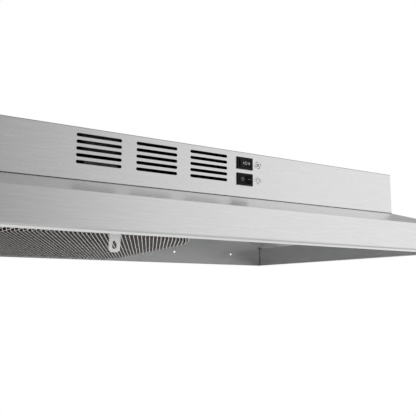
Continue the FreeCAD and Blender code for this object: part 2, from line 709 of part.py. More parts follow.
def make_wire_supply():
    """Wires from the wiring box along the fan plate to the switches."""
    back = BOX_FRONT + BODY_DEPTH + 7.0
    points = [V(WIRING_X0 + 12, WIRE_Y, WIRE_Z), V(WIRING_X0 - 22, WIRE_Y, WIRE_Z),
              V(112, 90, -45), V(112, -70, -45), V(SWITCH_X, -118, -40),
              V(SWITCH_X, back + 0.05, SWITCH_Z[1])]
    return tube_path(points, 2.4, 9.0)


def make_wire_motor():
    """Motor leads from the fan switch over the shroud to the coil."""
    back = BOX_FRONT + BODY_DEPTH + 7.0
    coil_x = FAN_X + 16.6
    lead_y = FAN_Y + STACK_Y / 2 + 19.5
    points = [V(SWITCH_X - 4, back + 0.05, SWITCH_Z[0]), V(SWITCH_X - 4, back + 22, SWITCH_Z[0]),
              V(SWITCH_X - 18, -70, -22), V(SWITCH_X - 40, lead_y, -20),
              V(coil_x + 0.05, lead_y, -22)]
    return tube_path(points, 1.9, 8.0)


def make_wire_lamp():
    """Lamp leads from the light switch to the socket's back."""
    back = BOX_FRONT + BODY_DEPTH + 7.0
    points = [V(SWITCH_X + 6, back + 0.05, SWITCH_Z[1] + 0.5), V(SWITCH_X + 6, back + 20, SWITCH_Z[1] + 1),
              V(98, -60, LAMP_Z), V(104, LAMP_Y, LAMP_Z),
              V(LAMP_X - LAMP_L / 2 - LAMP_WALL - 0.05, LAMP_Y, LAMP_Z)]
    return tube_path(points, 1.7, 8.0)


# ---------------------------------------------------------------- filter
def round_corners(slab, reach):
    """Round a slab's four upright edges; reach is how far it stands inside the filter's outline."""
    for way, radius in ((-1, FRONT_CORNER), (1, REAR_CORNER)):
        upright = [e for e in slab.Edges if abs(e.tangentAt(0).z) > 0.9 and e.CenterOfMass.y * way > 99]
        slab = slab.makeFillet(radius - reach, upright)
    return slab


def flat_slab(reach, z0, z1):
    half_x = FILTER_W / 2 - reach
    half_y = FILTER_D / 2 - reach
    return round_corners(box(-half_x, half_x, -half_y, half_y, z0, z1), reach)


def crowned_slab(reach, z0, z1):
    """A slab with a bowed lower face and rounded lower edges."""
    half_x = FILTER_W / 2 - reach
    half_y = FILTER_D / 2 - reach
    side = z0 + FILTER_CROWN * (2 * half_x / FILTER_W) ** 2
    ends = [V(half_x, -half_y, side), V(half_x, -half_y, z1),
            V(-half_x, -half_y, z1), V(-half_x, -half_y, side)]
    arc = Part.Arc(ends[3], V(0, -half_y, z0), ends[0]).toShape()
    lines = [Part.makeLine(a, b) for a, b in zip(ends, ends[1:])]
    slab = Part.Face(Part.Wire([arc] + lines)).extrude(V(0, 2 * half_y, 0))
    slab = round_corners(slab, reach)
    lowest = min(slab.Faces, key=lambda f: f.CenterOfMass.z)
    return slab.makeFillet(FILTER_EDGE - reach, lowest.OuterWire.Edges)


def place_filter(shape):
    placed = shape.copy()
    placed.rotate(V(0, 0, 0), V(1, 0, 0), FILTER_TILT)
    placed.translate(V(FILTER_X, FILTER_Y, FILTER_Z))
    return placed


def make_filter_mesh_lower():
    """The visible lower skin: a shallow pan of expanded mesh."""
    return crowned_slab(0, -FILTER_H, 0).cut(crowned_slab(MESH_T, MESH_T - FILTER_H, 1))


def make_filter_mesh_upper():
    return flat_slab(MESH_T + 0.3, -MESH_T - 0.2, -0.2)


def make_filter_pad():
    return crowned_slab(MESH_T + 0.3, MESH_T + 0.3 - FILTER_H, -MESH_T - 0.5)


def make_filter_binding():
    """Folded edge strip: a flat border on top of the pad and a short lip down its outside."""
    t = BINDING_T
    border = flat_slab(-0.05 - t, 0.05, 0.05 + t).cut(flat_slab(9, -1, 2))
    lip = flat_slab(-0.05 - t, -3.2, 0.05).cut(flat_slab(-0.05, -5, 2))
    return fuse([border, lip])


def make_filter_tab():
    """Pull tab on the front lip, leaning in below it, with an oblong finger hole."""
    half = TAB_W / 2
    y = -FILTER_D / 2 - 0.05 - BINDING_T
    upper = box(-half, half, y - TAB_T, y, -3.4, 0.4)
    low = -TAB_DROP
    snip = 3.0
    outline = [V(-half, 0, 0), V(half, 0, 0), V(half, 0, low + snip), V(half - snip, 0, low),
               V(snip - half, 0, low), V(-half, 0, low + snip)]
    blade = prism(outline, V(0, -TAB_T, 0))
    r = TAB_HOLE_W / 2
    straight = TAB_HOLE_H / 2 - r
    centre = 8.5 - TAB_DROP
    hole = fuse([box(-r, r, -5, 5, centre - straight, centre + straight),
                 rod(r, V(0, -5, centre - straight), V(0, 5, centre - straight)),
                 rod(r, V(0, -5, centre + straight), V(0, 5, centre + straight))])
    blade = blade.cut(hole)
    blade.rotate(V(0, 0, 0), V(1, 0, 0), TAB_LEAN)
    blade.translate(V(0, y, -3.3))
    tab = fuse([upper, blade])
    for x in (-4.0, 4.0):
        tab = tab.cut(rod(1.25, V(x, y - 3, -1.5), V(x, y + 1, -1.5)))
    return tab


def make_tab_rivets():
    """Two small rivets that hold the tab on the binding's lip."""
    y = -FILTER_D / 2 - 0.05 - BINDING_T
    rivets = []
    for x in (-4.0, 4.0):
        shank = rod(1.2, V(x, y, -1.5), V(x, y - TAB_T, -1.5))
        head = rod(2.0, V(x, y - TAB_T, -1.5), V(x, y - TAB_T - 0.9, -1.5))
        rivets.append(fuse([shank, head]))
    return Part.makeCompound(rivets)


def filter_top(y):
    """Height of the filter's highest surface at the local distance y from its middle."""
    tilt = math.radians(FILTER_TILT)
    return FILTER_Z + y * math.sin(tilt) + 0.05 + BINDING_T


def make_filter_rail(way):
    """Cross rail under the fan plate; way is -1 for the front one and +1 for the rear one."""
    under = PLATE_TOP - SHEET
    half = FILTER_W / 2 + 12
    gap = 4.6 if way < 0 else RAIL_GAP + 1.0
    inner = way * (FILTER_D / 2 + gap)
    stop_z = filter_top(inner) + 0.5
    tip = way * (FILTER_D / 2 - 3)
    pieces = []
    for a, b, z0, z1 in ((inner, inner + way * SHEET, stop_z, under),
                         (tip, inner + way * SHEET, stop_z, stop_z + SHEET),
                         (inner - way * 10, inner + way * SHEET, under - SHEET, under)):
        pieces.append(box(-half, half, min(a, b), max(a, b), z0, z1))
    rail = fuse(pieces)
    rail.translate(V(FILTER_X, FILTER_Y, 0))
    return rail


def make_filter_skirt(way):
    """Sheet between the rails that closes the plenum; way is -1 for left and +1 for right."""
    under = PLATE_TOP - SHEET
    inner = way * (FILTER_W / 2 + 0.85 + RAIL_GAP)
    front = 6.0 - FILTER_D / 2
    back = FILTER_D / 2 - 9.0
    low_front = filter_top(front) - 0.4
    low_back = filter_top(back) - 0.4
    outline = [V(inner, front, under), V(inner, front, low_front), V(inner, back, low_back),
               V(inner, back, under)]
    web = prism(outline, V(way * SHEET, 0, 0))
    a = inner + way * 10
    flange = box(min(inner, a), max(inner, a), front, back, under - SHEET, under)
    skirt = fuse([web, flange])
    skirt.translate(V(FILTER_X, FILTER_Y, 0))
    return skirt


def main():
    os.makedirs("parts", exist_ok=True)
    side = make_side_shell()
    save("side_shell_left", side)
    save("side_shell_right", mirror_x(side))
    save("visor_front", make_visor_front())
    save("top_panel", make_top_panel())
    save("front_panel", make_front_panel())
    save("back_panel", make_back_panel())
    save("fan_plate", make_fan_plate())
    save("shell_rivets", make_shell_rivets())
    save("fan_shroud", make_fan_shroud())
    save("motor_bracket", make_motor_bracket())
    save("bracket_screws", make_bracket_screws())
    save("motor_stator", make_motor_stator())
    save("motor_coil", make_motor_coil())
    save("bearing_bridge_upper", make_bearing_bridge(STACK_Z, 1))
    save("bearing_bridge_lower", make_bearing_bridge(STACK_Z - STACK_T, -1))
    save("motor_screws", make_motor_screws())
    save("motor_rotor", make_motor_rotor())
    save("motor_shaft", make_motor_shaft())
    save("fan_blade", make_fan_blade())
    save("fan_nut", make_fan_nut())
    save("lamp_reflector", make_lamp_reflector())
    save("lamp_socket", make_lamp_socket())
    save("lamp_bulb", make_lamp_bulb())
    save("lamp_lens", make_lamp_lens())
    save("lens_brackets", make_lens_brackets())
    save("lens_latch", make_lens_latch())
    for name, z, tilt, tabs in (("fan", SWITCH_Z[0], 0.0, (-6, 0, 6)),
                                ("light", SWITCH_Z[1], -ROCKER_TILT, (-4, 4))):
        save(name + "_switch_body", make_switch_body(z))
        save(name + "_rocker", make_rocker(z, tilt))
        save(name + "_switch_terminals", make_terminals(z, tabs))
    save("wiring_box", make_wiring_box())
    save("wire_bushing", make_wire_bushing())
    save("wiring_cover", make_wiring_cover())
    save("cover_screws", make_cover_screws())
    save("wire_supply", make_wire_supply())
    save("wire_motor", make_wire_motor())
    save("wire_lamp", make_wire_lamp())
    for name, make in (("filter_mesh_lower", make_filter_mesh_lower),
                       ("filter_mesh_upper", make_filter_mesh_upper),
                       ("filter_pad", make_filter_pad),
                       ("filter_binding", make_filter_binding),
                       ("filter_tab", make_filter_tab),
                       ("tab_rivets", make_tab_rivets)):
        save(name, place_filter(make()))
    for name, way in (("front", -1), ("rear", 1)):
        save("filter_rail_" + name, make_filter_rail(way))
    for name, way in (("left", -1), ("right", 1)):
        save("filter_skirt_" + name, make_filter_skirt(way))


main()
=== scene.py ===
import json
import math

import bpy
from mathutils import Matrix, Vector


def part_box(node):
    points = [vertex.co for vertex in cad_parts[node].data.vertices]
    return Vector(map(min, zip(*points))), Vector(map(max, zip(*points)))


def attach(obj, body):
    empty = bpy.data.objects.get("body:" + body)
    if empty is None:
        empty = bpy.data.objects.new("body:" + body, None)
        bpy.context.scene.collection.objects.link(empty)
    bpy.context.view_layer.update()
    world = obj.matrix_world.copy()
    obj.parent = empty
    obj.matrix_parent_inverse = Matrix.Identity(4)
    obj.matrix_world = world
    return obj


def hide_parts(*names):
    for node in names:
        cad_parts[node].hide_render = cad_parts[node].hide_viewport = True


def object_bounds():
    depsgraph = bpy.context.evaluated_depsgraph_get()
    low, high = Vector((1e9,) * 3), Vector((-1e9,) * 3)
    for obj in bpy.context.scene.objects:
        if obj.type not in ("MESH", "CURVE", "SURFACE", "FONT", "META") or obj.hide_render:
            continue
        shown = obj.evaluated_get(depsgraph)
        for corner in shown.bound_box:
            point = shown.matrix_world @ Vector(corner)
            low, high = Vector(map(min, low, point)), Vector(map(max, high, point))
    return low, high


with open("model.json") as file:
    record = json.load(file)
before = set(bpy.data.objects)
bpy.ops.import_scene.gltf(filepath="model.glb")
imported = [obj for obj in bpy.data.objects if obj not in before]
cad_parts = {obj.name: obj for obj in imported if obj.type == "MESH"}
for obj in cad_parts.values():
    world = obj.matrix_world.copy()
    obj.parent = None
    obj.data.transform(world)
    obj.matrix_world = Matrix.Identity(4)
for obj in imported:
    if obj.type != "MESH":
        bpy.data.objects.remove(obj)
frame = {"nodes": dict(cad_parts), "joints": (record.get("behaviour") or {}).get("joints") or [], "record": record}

CAD_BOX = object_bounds()
NODES = frame["nodes"]
RECORD = frame["record"]
MM = 0.001

FILTER_TILT = math.radians(-1.9)


# ---------------------------------------------------------------- materials
class Shader:
    """Builds one procedural material on object coordinates."""

    def __init__(self, name):
        self.mat = bpy.data.materials.new(name)
        self.mat.use_nodes = True
        self.nodes = self.mat.node_tree.nodes
        self.links = self.mat.node_tree.links
        self.nodes.clear()
        self.out = self.nodes.new("ShaderNodeOutputMaterial")
        self.bsdf = self.nodes.new("ShaderNodeBsdfPrincipled")
        self.links.new(self.bsdf.outputs[0], self.out.inputs[0])
        self.coords = self.nodes.new("ShaderNodeTexCoord")

    def set(self, **values):
        for key, value in values.items():
            self.bsdf.inputs[key.replace("_", " ")].default_value = value

    def noise(self, scale, detail=4.0, rough=0.55):
        """Noise stretched by a scale for each axis, per metre."""
        mapping = self.nodes.new("ShaderNodeMapping")
        mapping.inputs["Scale"].default_value = scale
        self.links.new(self.coords.outputs["Object"], mapping.inputs[0])
        tex = self.nodes.new("ShaderNodeTexNoise")
        tex.inputs["Scale"].default_value = 1.0
        tex.inputs["Detail"].default_value = detail
        tex.inputs["Roughness"].default_value = rough
        self.links.new(mapping.outputs[0], tex.inputs[0])
        return tex.outputs[0]

    def span(self, source, low, high, start=0.3, end=0.7):
        """Turns a texture value into numbers from low to high."""
        node = self.nodes.new("ShaderNodeMapRange")
        node.inputs[1].default_value = start
        node.inputs[2].default_value = end
        node.inputs[3].default_value = low
        node.inputs[4].default_value = high
        self.links.new(source, node.inputs[0])
        return node.outputs[0]

    def combine(self, a, b, how="MULTIPLY"):
        node = self.nodes.new("ShaderNodeMath")
        node.operation = how
        self.links.new(a, node.inputs[0])
        self.links.new(b, node.inputs[1])
        return node.outputs[0]

    def colour(self, factor, first, second):
        node = self.nodes.new("ShaderNodeMix")
        node.data_type = "RGBA"
        node.inputs[6].default_value = (*first, 1.0)
        node.inputs[7].default_value = (*second, 1.0)
        self.links.new(factor, node.inputs[0])
        self.links.new(node.outputs[2], self.bsdf.inputs["Base Color"])

    def roughness(self, value):
        self.links.new(value, self.bsdf.inputs["Roughness"])

    def bump(self, height, strength, distance):
        node = self.nodes.new("ShaderNodeBump")
        node.inputs["Strength"].default_value = strength
        node.inputs["Distance"].default_value = distance
        self.links.new(height, node.inputs["Height"])
        self.links.new(node.outputs[0], self.bsdf.inputs["Normal"])


def brushed_steel(name, along, base, rough, grain=0.05, spread=0.0):
    """Stainless sheet with a fine grain along one axis; spread smears reflections across the grain."""
    shader = Shader(name)
    fine = [520.0] * 3
    fine["XYZ".index(along)] = 28.0
    hair = [1700.0] * 3
    hair["XYZ".index(along)] = 60.0
    broad = shader.noise(fine, 5.0, 0.62)
    thin = shader.noise(hair, 3.0, 0.7)
    cloud = shader.noise((3.0, 3.0, 3.0), 2.0)
    both = shader.combine(broad, thin)
    shade = shader.span(both, 0.0, 1.0, 0.12, 0.40)
    low = tuple(c * (1.0 - grain) for c in base)
    high = tuple(min(1.0, c * (1.0 + grain)) for c in base)
    shader.colour(shade, low, high)
    patches = shader.span(cloud, 0.94, 1.06)
    streaks = shader.span(both, rough * 0.86, rough * 1.14, 0.12, 0.40)
    shader.roughness(shader.combine(patches, streaks))
    shader.bump(both, 0.10, 0.00008)
    shader.set(Metallic=1.0, Anisotropic=spread)
    if spread:
        tangent = shader.nodes.new("ShaderNodeTangent")
        tangent.direction_type = "RADIAL"
        tangent.axis = along
        shader.links.new(tangent.outputs[0], shader.bsdf.inputs["Tangent"])
    return shader.mat


def mottled(name, base, rough, metallic=0.0, size=300.0, change=0.08, bump=0.1, **extra):
    """A plain finish with slight colour and gloss variation and a fine texture."""
    shader = Shader(name)
    grain = shader.noise((size, size, size), 5.0)
    patch = shader.noise((9.0, 9.0, 9.0), 2.0)
    mix = shader.combine(grain, patch, "ADD")
    low = tuple(c * (1.0 - change) for c in base)
    high = tuple(min(1.0, c * (1.0 + change)) for c in base)
    shader.colour(shader.span(mix, 0.0, 1.0, 0.7, 1.3), low, high)
    shader.roughness(shader.span(patch, rough * 0.88, rough * 1.12))
    shader.bump(grain, bump, 0.0001)
    shader.set(Metallic=metallic, **extra)
    return shader.mat


def spangled(name, base):
    """Zinc coated sheet with faint crystal patches."""
    shader = Shader(name)
    cells = shader.nodes.new("ShaderNodeTexVoronoi")
    cells.inputs["Scale"].default_value = 110.0
    shader.links.new(shader.coords.outputs["Object"], cells.inputs["Vector"])
    grey = shader.nodes.new("ShaderNodeRGBToBW")
    shader.links.new(cells.outputs["Color"], grey.inputs[0])
    low = tuple(c * 0.90 for c in base)
    shader.colour(shader.span(grey.outputs[0], 0.0, 1.0, 0.2, 0.8), low, base)
    shader.roughness(shader.span(grey.outputs[0], 0.34, 0.50, 0.2, 0.8))
    shader.bump(shader.noise((900.0, 900.0, 900.0)), 0.08, 0.0001)
    shader.set(Metallic=1.0)
    return shader.mat


def banded(name, base, pitch, axis, rough, depth, **extra):
    """Parallel ridges, such as laminations, windings or lens ribs."""
    shader = Shader(name)
    wave = shader.nodes.new("ShaderNodeTexWave")
    wave.bands_direction = axis
    wave.inputs["Scale"].default_value = 0.314 / pitch
    wave.inputs["Distortion"].default_value = 0.4
    wave.inputs["Detail"].default_value = 1.0
    shader.links.new(shader.coords.outputs["Object"], wave.inputs["Vector"])
    ridge = wave.outputs["Fac"]
    low = tuple(c * 0.80 for c in base)
    shader.colour(shader.span(ridge, 0.0, 1.0, 0.1, 0.7), low, base)
    shader.roughness(shader.span(shader.noise((200.0, 200.0, 200.0)), rough * 0.9, rough * 1.1))
    shader.bump(ridge, 0.5, depth)
    shader.set(**extra)
    return shader.mat


def fibrous(name, base):
    """Charcoal pad: matted fibres with specks."""
    shader = Shader(name)
    fibres = shader.noise((240.0, 900.0, 500.0), 8.0, 0.75)
    specks = shader.noise((2600.0, 2600.0, 2600.0), 2.0)
    mix = shader.combine(fibres, specks)
    low = tuple(c * 0.45 for c in base)
    high = tuple(c * 1.7 for c in base)
    shader.colour(shader.span(mix, 0.0, 1.0, 0.14, 0.38), low, high)
    shader.roughness(shader.span(fibres, 0.85, 1.0))
    shader.bump(mix, 0.8, 0.0008)
    shader.set(Specular_IOR_Level=0.02)
    return shader.mat


STEEL = (0.80, 0.80, 0.80)
steel_x = brushed_steel("steel_grain_x", "X", (0.835, 0.835, 0.835), 0.28)
steel_visor = brushed_steel("steel_visor", "X", (0.815, 0.815, 0.815), 0.22, 0.05, 0.95)
steel_y = brushed_steel("steel_grain_y", "Y", STEEL, 0.32)
steel_back = brushed_steel("steel_back", "X", (0.78, 0.78, 0.78), 0.34)
MATERIALS = {
    # the galvanised grey is set darker than bare zinc so the inside of the housing reads dark through the slots:
    # partly the sheet's own colour, partly painted shade
    "galvanised": spangled("galvanised_sheet_and_painted_shade", (0.50, 0.51, 0.52)),
    "zinc_hardware": mottled("zinc_hardware", (0.72, 0.72, 0.73), 0.28, 1.0, 500.0),
    "black_gloss": mottled("black_gloss", (0.006, 0.006, 0.007), 0.24, 0.0, 900.0, 0.2, 0.03,
                           Specular_IOR_Level=0.22),
    "black_plastic": mottled("black_plastic", (0.035, 0.035, 0.038), 0.42, 0.0, 1500.0, 0.2, 0.25),
    "white_enamel": mottled("white_enamel", (0.84, 0.84, 0.82), 0.22, 0.0, 150.0, 0.02, 0.03,
                            Coat_Weight=0.4),
    "diffuser": banded("ribbed_diffuser", (0.86, 0.87, 0.86), 0.004, "X", 0.25, 0.0005,
                       Transmission_Weight=0.55, IOR=1.49),
    "clear_glass": mottled("bulb_glass", (0.96, 0.95, 0.92), 0.05, 0.0, 60.0, 0.01, 0.01,
                           Transmission_Weight=0.7, IOR=1.45),
    "porcelain": mottled("porcelain", (0.86, 0.84, 0.78), 0.40, 0.0, 700.0, 0.04, 0.1),
    "laminations": banded("laminations", (0.34, 0.35, 0.37), 0.0009, "Z", 0.42, 0.0002, Metallic=1.0),
    "copper": banded("copper_winding", (0.70, 0.30, 0.13), 0.0011, "X", 0.33, 0.0003, Metallic=1.0),
    "zinc_casting": mottled("zinc_casting", (0.58, 0.58, 0.57), 0.48, 1.0, 900.0, 0.08, 0.3),
    "shaft_steel": banded("ground_shaft", (0.66, 0.66, 0.68), 0.0012, "Z", 0.20, 0.00002, Metallic=1.0),
    "brass_parts": mottled("brass_parts", (0.74, 0.55, 0.25), 0.28, 1.0, 500.0),
    "mesh_aluminium": mottled("mesh_aluminium", (0.84, 0.82, 0.80), 0.34, 1.0, 800.0, 0.10, 0.2),
    # the tab's colour is raised to full white to brighten it against the shade of the lip and mesh: partly the
    # aluminium's own colour, partly painted light
    "tab_aluminium": mottled("tab_aluminium", (1.0, 1.0, 1.0), 0.28, 1.00, 700.0, 0.04, 0.1),
    "carbon_pad": fibrous("carbon_pad", (0.030, 0.021, 0.014)),
    "wire_jacket": mottled("wire_jacket", (0.04, 0.04, 0.042), 0.45, 0.0, 900.0, 0.2, 0.1),
    "print_grey": mottled("print_grey", (0.03, 0.03, 0.032), 0.55, 0.0, 900.0, 0.05, 0.02),
    "mark_white": mottled("mark_white", (0.92, 0.92, 0.92), 0.45, 0.0, 900.0, 0.03, 0.02),
    "mark_grey": mottled("mark_grey", (0.30, 0.30, 0.31), 0.45, 0.0, 900.0, 0.03, 0.02),
}
STAINLESS = {
    "side_shell_left": steel_y,
    "side_shell_right": steel_y,
    "visor_front": steel_visor,
    "front_panel": steel_x,
    "back_panel": steel_back,
}


def dress_cad_nodes():
    for part in RECORD["subparts"]:
        node = NODES[part["node"]]
        mat = STAINLESS.get(part["node"]) or MATERIALS[part["material_slot"]]
        for slot in node.material_slots:
            slot.material = mat
        if not node.material_slots:
            node.data.materials.append(mat)


# ---------------------------------------------------------------- mesh helpers
def add_piece(name, vertices, faces, mat, body, smooth=False):
    mesh = bpy.data.meshes.new(name)
    mesh.from_pydata([tuple(v) for v in vertices], [], faces)
    mesh.validate()
    mesh.update()
    if smooth:
        mesh.polygons.foreach_set("use_smooth", [True] * len(mesh.polygons))
    obj = bpy.data.objects.new(name, mesh)
    bpy.context.scene.collection.objects.link(obj)
    obj.data.materials.append(mat)
    if body:
        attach(obj, body)
    return obj


def prism_between(a, b, across, normal, width, thick, turn, vertices, faces):
    """A flat strand from a to b, turned about its own length like a strand of expanded metal."""
    length = (b - a).normalized()
    side = (across * math.cos(turn) + normal * math.sin(turn)) * (width / 2)
    up = length.cross(side).normalized() * (thick / 2)
    start = len(vertices)
    for end in (a, b):
        for s, t in ((-1, -1), (1, -1), (1, 1), (-1, 1)):
            vertices.append(end + side * s + up * t)
    for k in range(4):
        n = (k + 1) % 4
        faces.append((start + k, start + n, start + 4 + n, start + 4 + k))


# ---------------------------------------------------------------- expanded mesh of the filter
class FilterSkin:
    """The filter's outline and lower surface, in its own untilted frame."""

    def __init__(self):
        record = RECORD["behaviour"]["joints"]
        fan = next(j for j in record if j["name"] == "fan_spin")
        self.x = fan["pos_m"][0]
        self.y = fan["pos_m"][1]
        low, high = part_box("filter_mesh_lower")
        self.half_x = (high[0] - low[0]) / 2
        self.half_y = 0.155
        self.height = 13.0 * MM
        self.z = -93.0 * MM
        self.crown = 2.0 * MM
        self.edge = 8.0 * MM
        self.front_r = 95.0 * MM
        self.rear_r = 20.0 * MM
        self.tilt = Matrix.Rotation(FILTER_TILT, 3, "X")

    def place(self, p):
        return self.tilt @ p + Vector((self.x, self.y, self.z))

    def outline(self, x, y, inset):
        """Distance past the inset outline, and the nearest point and direction on it."""
        radius = (self.front_r if y < 0 else self.rear_r) - inset
        cx = self.half_x - inset - radius
        cy = self.half_y - inset - radius
        ax = abs(x)
        ay = abs(y)
        sx = math.copysign(1.0, x)
        sy = math.copysign(1.0, y)
        if ax > cx and ay > cy:
            dx = ax - cx
            dy = ay - cy
            reach = math.hypot(dx, dy)
            nx = dx / reach
            ny = dy / reach
            return reach - radius, (sx * (cx + nx * radius), sy * (cy + ny * radius)), (sx * nx, sy * ny)
        past_x = ax - cx - radius
        past_y = ay - cy - radius
        if past_x > past_y:
            return past_x, (sx * (cx + radius), y), (sx, 0.0)
        return past_y, (x, sy * (cy + radius)), (0.0, sy)

    def limit(self):
        return self.edge * math.pi / 2 + self.height - self.edge - 3.4 * MM

    def wrap(self, x, y, raise_by=0.0):
        """A point of the flat sheet, laid on the pan; returns position and outward normal."""
        past, near, way = self.outline(x, y, self.edge)
        floor_z = -self.height + self.crown * (min(abs(x), self.half_x) / self.half_x) ** 2
        radius = self.edge - raise_by
        if past <= 0:
            return self.place(Vector((x, y, floor_z + raise_by))), self.tilt @ Vector((0, 0, -1)), past
        turn = min(past, self.edge * math.pi / 2) / self.edge
        rise = max(0.0, past - self.edge * math.pi / 2)
        out = radius * math.sin(turn)
        up = self.edge - radius * math.cos(turn) + rise
        point = Vector((near[0] + way[0] * out, near[1] + way[1] * out, floor_z + up))
        normal = Vector((way[0] * math.sin(turn), way[1] * math.sin(turn), -math.cos(turn)))
        return self.place(point), self.tilt @ normal, past


SWD = 5.30 * MM             # short way of the diamonds
LWD = 10.55 * MM            # long way of the diamonds
STRAND_TURN = -14.0         # degrees that each strand is turned about its own length
STRAND_THICK = 0.12 * MM
LOWER_STRAND = 0.95 * MM
UPPER_STRAND = 0.70 * MM


def lattice(skin, name, wrap, limit, width, mat):
    """Expanded mesh: short strands between bonds, in two crossing families."""
    vertices = []
    faces = []
    cols = int((skin.half_x + 0.02) / (SWD / 2))
    rows = int((skin.half_y + 0.02) / (LWD / 2))
    spots = {}
    for i in range(-cols, cols + 1):
        for j in range(-rows, rows + 1):
            if (i + j) % 2 == 0:
                spots[i, j] = wrap(i * SWD / 2, j * LWD / 2)
    for (i, j), (a, na, past_a) in spots.items():
        for way in (-1, 1):
            other = spots.get((i + way, j + 1))
            if other is None or past_a > limit or other[2] > limit:
                continue
            b, nb, _ = other
            normal = (na + nb).normalized()
            across = (b - a).cross(normal).normalized()
            turn = math.radians(STRAND_TURN * way)
            prism_between(a, b, across, normal, width, STRAND_THICK, turn, vertices, faces)
    return add_piece(name, vertices, faces, mat, "filter")


def build_filter_skins():
    skin = FilterSkin()
    mat = MATERIALS["mesh_aluminium"]
    lift = 0.45 * MM
    lower = lattice(skin, "expanded_mesh_lower", lambda x, y: skin.wrap(x, y, lift), skin.limit(),
                    LOWER_STRAND, mat)
    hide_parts("filter_mesh_lower")

    def flat(x, y):
        past = skin.outline(x, y, 0.0)[0]
        return skin.place(Vector((x, y, -0.9 * MM))), skin.tilt @ Vector((0, 0, 1)), past

    upper = lattice(skin, "expanded_mesh_upper", flat, -2.2 * MM, UPPER_STRAND, mat)
    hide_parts("filter_mesh_upper")


# ---------------------------------------------------------------- switch marks and printed icons
ROCKER_VALLEY = 3.1 * MM    # the pivot to the bottom of the rocker's V front
ROCKER_SLOPE = 0.9 / 8.5


def bar(points, width):
    """Outline of a straight flat bar between two points of the mark's plane."""
    (x0, z0), (x1, z1) = points
    length = math.hypot(x1 - x0, z1 - z0)
    ux = (x1 - x0) / length
    uz = (z1 - z0) / length
    half = width / 2
    return [(x0 - uz * half, z0 + ux * half), (x0 + uz * half, z0 - ux * half),
            (x1 + uz * half, z1 - ux * half), (x1 - uz * half, z1 + ux * half)]


def arc_bars(cx, cz, rx, rz, start, end, width, steps):
    """Closed strip along an ellipse, as short bars that share their ends."""
    ring = []
    for k in range(steps + 1):
        a = math.radians(start + (end - start) * k / steps)
        ring.append((math.cos(a), math.sin(a)))
    quads = []
    for (c0, s0), (c1, s1) in zip(ring, ring[1:]):
        inner_x = rx - width / 2
        inner_z = rz - width / 2
        outer_x = rx + width / 2
        outer_z = rz + width / 2
        quads.append([(cx + outer_x * c0, cz + outer_z * s0), (cx + inner_x * c0, cz + inner_z * s0),
                      (cx + inner_x * c1, cz + inner_z * s1), (cx + outer_x * c1, cz + outer_z * s1)])
    return quads


def raised_marks(name, quads, to_world, height, mat, body):
    """Thin raised plates from outlines in millimetres; to_world takes (x, z, out)."""
    vertices = []
    faces = []
    for quad in quads:
        start = len(vertices)
        count = len(quad)
        for out in (0.0, height):
            for x, z in quad:
                vertices.append(to_world(x * MM, z * MM, out))
        faces.append(tuple(range(start + count, start + 2 * count)))
        for k in range(count):
            n = (k + 1) % count
            faces.append((start + k, start + n, start + count + n, start + count + k))
    return add_piece(name, vertices, faces, mat, body)


def rocker_plane(joint_name, tilt_deg):
    """Maps a mark's plane to the V front of a rocker that rests tilted by tilt_deg."""
    joint = next(j for j in frame["joints"] if j["name"] == joint_name)
    pivot = Vector(joint["pos_m"])
    turn = Matrix.Rotation(math.radians(tilt_deg), 3, "Z")

    def to_world(x, z, out):
        face_y = -ROCKER_VALLEY - ROCKER_SLOPE * abs(x) - 0.02 * MM - out
        return pivot + turn @ Vector((x, face_y, z))

    return to_world


def build_marks():
    fan_face = rocker_plane("fan_rocker_tilt", 0.0)
    w = 0.62
    fan_marks = [bar([(-2.7, -1.5), (-2.7, 1.5)], w), bar([(4.4, -1.6), (4.4, 1.6)], w),
                 bar([(5.7, -1.6), (5.7, 1.6)], w)]
    fan_marks += arc_bars(0.7, 0.0, 1.45, 1.6, 0, 360, w, 20)
    raised_marks("fan_rocker_marks", fan_marks, fan_face, 0.06 * MM, MATERIALS["mark_white"],
                 "fan_rocker")
    light_face = rocker_plane("light_rocker_tilt", -10.0)
    light_marks = arc_bars(-3.2, 0.0, 1.6, 1.8, 0, 360, 0.9, 20)
    light_marks.append(bar([(3.2, 0.0), (7.0, 0.0)], 0.7))
    raised_marks("light_rocker_marks", light_marks, light_face, 0.06 * MM, MATERIALS["mark_grey"],
                 "light_rocker")


def icon_plane(cx, cz):
    face_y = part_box("front_panel")[0][1]

    def to_world(x, z, out):
        return Vector((cx + x, face_y - 0.01 * MM - out, cz + z))

    return to_world


def fan_icon():
    """Four rounded blades round a small hub."""
    quads = arc_bars(0, 0, 0.8, 0.7, 0, 360, 0.55, 14)
    for k in range(4):
        a = math.radians(90 * k + 20)
        quads += arc_bars(3.1 * math.cos(a), 2.7 * math.sin(a), 1.7, 1.4, 90 * k - 60, 90 * k + 210, 0.62, 12)
    return quads


def lamp_icon():
    """A round bulb with short rays and a base."""
    quads = arc_bars(0, 0.5, 2.7, 2.3, -50, 230, 0.6, 18)
    quads.append(bar([(-1.6, -2.2), (1.6, -2.2)], 0.6))
    quads.append(bar([(-1.0, -3.4), (1.0, -3.4)], 0.6))
    for k in range(7):
        a = math.radians(-15 + 35 * k)
        quads.append(bar([(3.9 * math.cos(a), 0.5 + 3.3 * math.sin(a)),
                          (5.4 * math.cos(a), 0.5 + 4.6 * math.sin(a))], 0.6))
    return quads


def build_icons():
    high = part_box("fan_switch_body")
    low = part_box("light_switch_body")
    x = high[1][0] + 8.2 * MM
    for name, box, icon in (("fan_icon", high, fan_icon()), ("lamp_icon", low, lamp_icon())):
        z = (box[0][2] + box[1][2]) / 2
        raised_marks(name, icon, icon_plane(x, z), 0.03 * MM, MATERIALS["print_grey"],
                     "hood")


